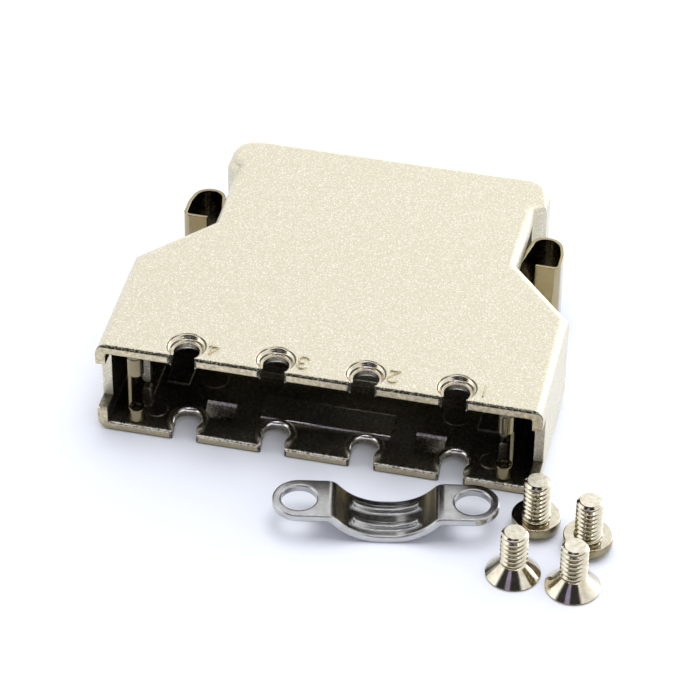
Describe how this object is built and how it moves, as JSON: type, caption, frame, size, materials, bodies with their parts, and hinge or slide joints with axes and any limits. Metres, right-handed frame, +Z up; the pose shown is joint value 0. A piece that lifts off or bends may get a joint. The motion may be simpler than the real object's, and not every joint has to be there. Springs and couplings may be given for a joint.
{
  "type": "connector hood",
  "caption": "Flat metal connector hood with notched open mouth, sloping shoulders, sprung side latches and a rear cable exit, shown with its loose saddle clamp and screws.",
  "frame": {"origin": "middle of the hood's flat underside, on the surface it rests on", "axes": "+Y from the open mouth to the cable end, +Z up through the roof, +X to the right seen from the mouth"},
  "size_m": [0.0593, 0.0574, 0.0121],
  "materials": {
    "cast_nickel": "satin nickel plate with a fine sand-cast grain",
    "spring_nickel": "smooth plated spring sheet, warm in tone",
    "bright_nickel": "bright polished nickel plate",
    "screw_nickel": "bright nickel plate, warm in tone"
  },
  "bodies": {
    "hood": {"lower_shell": "cast_nickel", "upper_shell": "cast_nickel", "cable_clamp": "bright_nickel", "clamp_screws": "screw_nickel", "shell_screws": "screw_nickel"},
    "left_latch": {"left_latch": "spring_nickel"},
    "right_latch": {"right_latch": "spring_nickel"}
  },
  "joints": [
    {"name": "left_squeeze", "type": "hinge", "parent": "hood", "child": "left_latch", "pos_m": [-0.02085, -0.0193, 0.00605], "axis": [0, 0, -1], "range_deg": [0, 3], "stiffness_Nm_per_rad": 0.4},
    {"name": "right_squeeze", "type": "hinge", "parent": "hood", "child": "right_latch", "pos_m": [0.02085, -0.0193, 0.00605], "axis": [0, 0, 1], "range_deg": [0, 3], "stiffness_Nm_per_rad": 0.4}
  ]
}
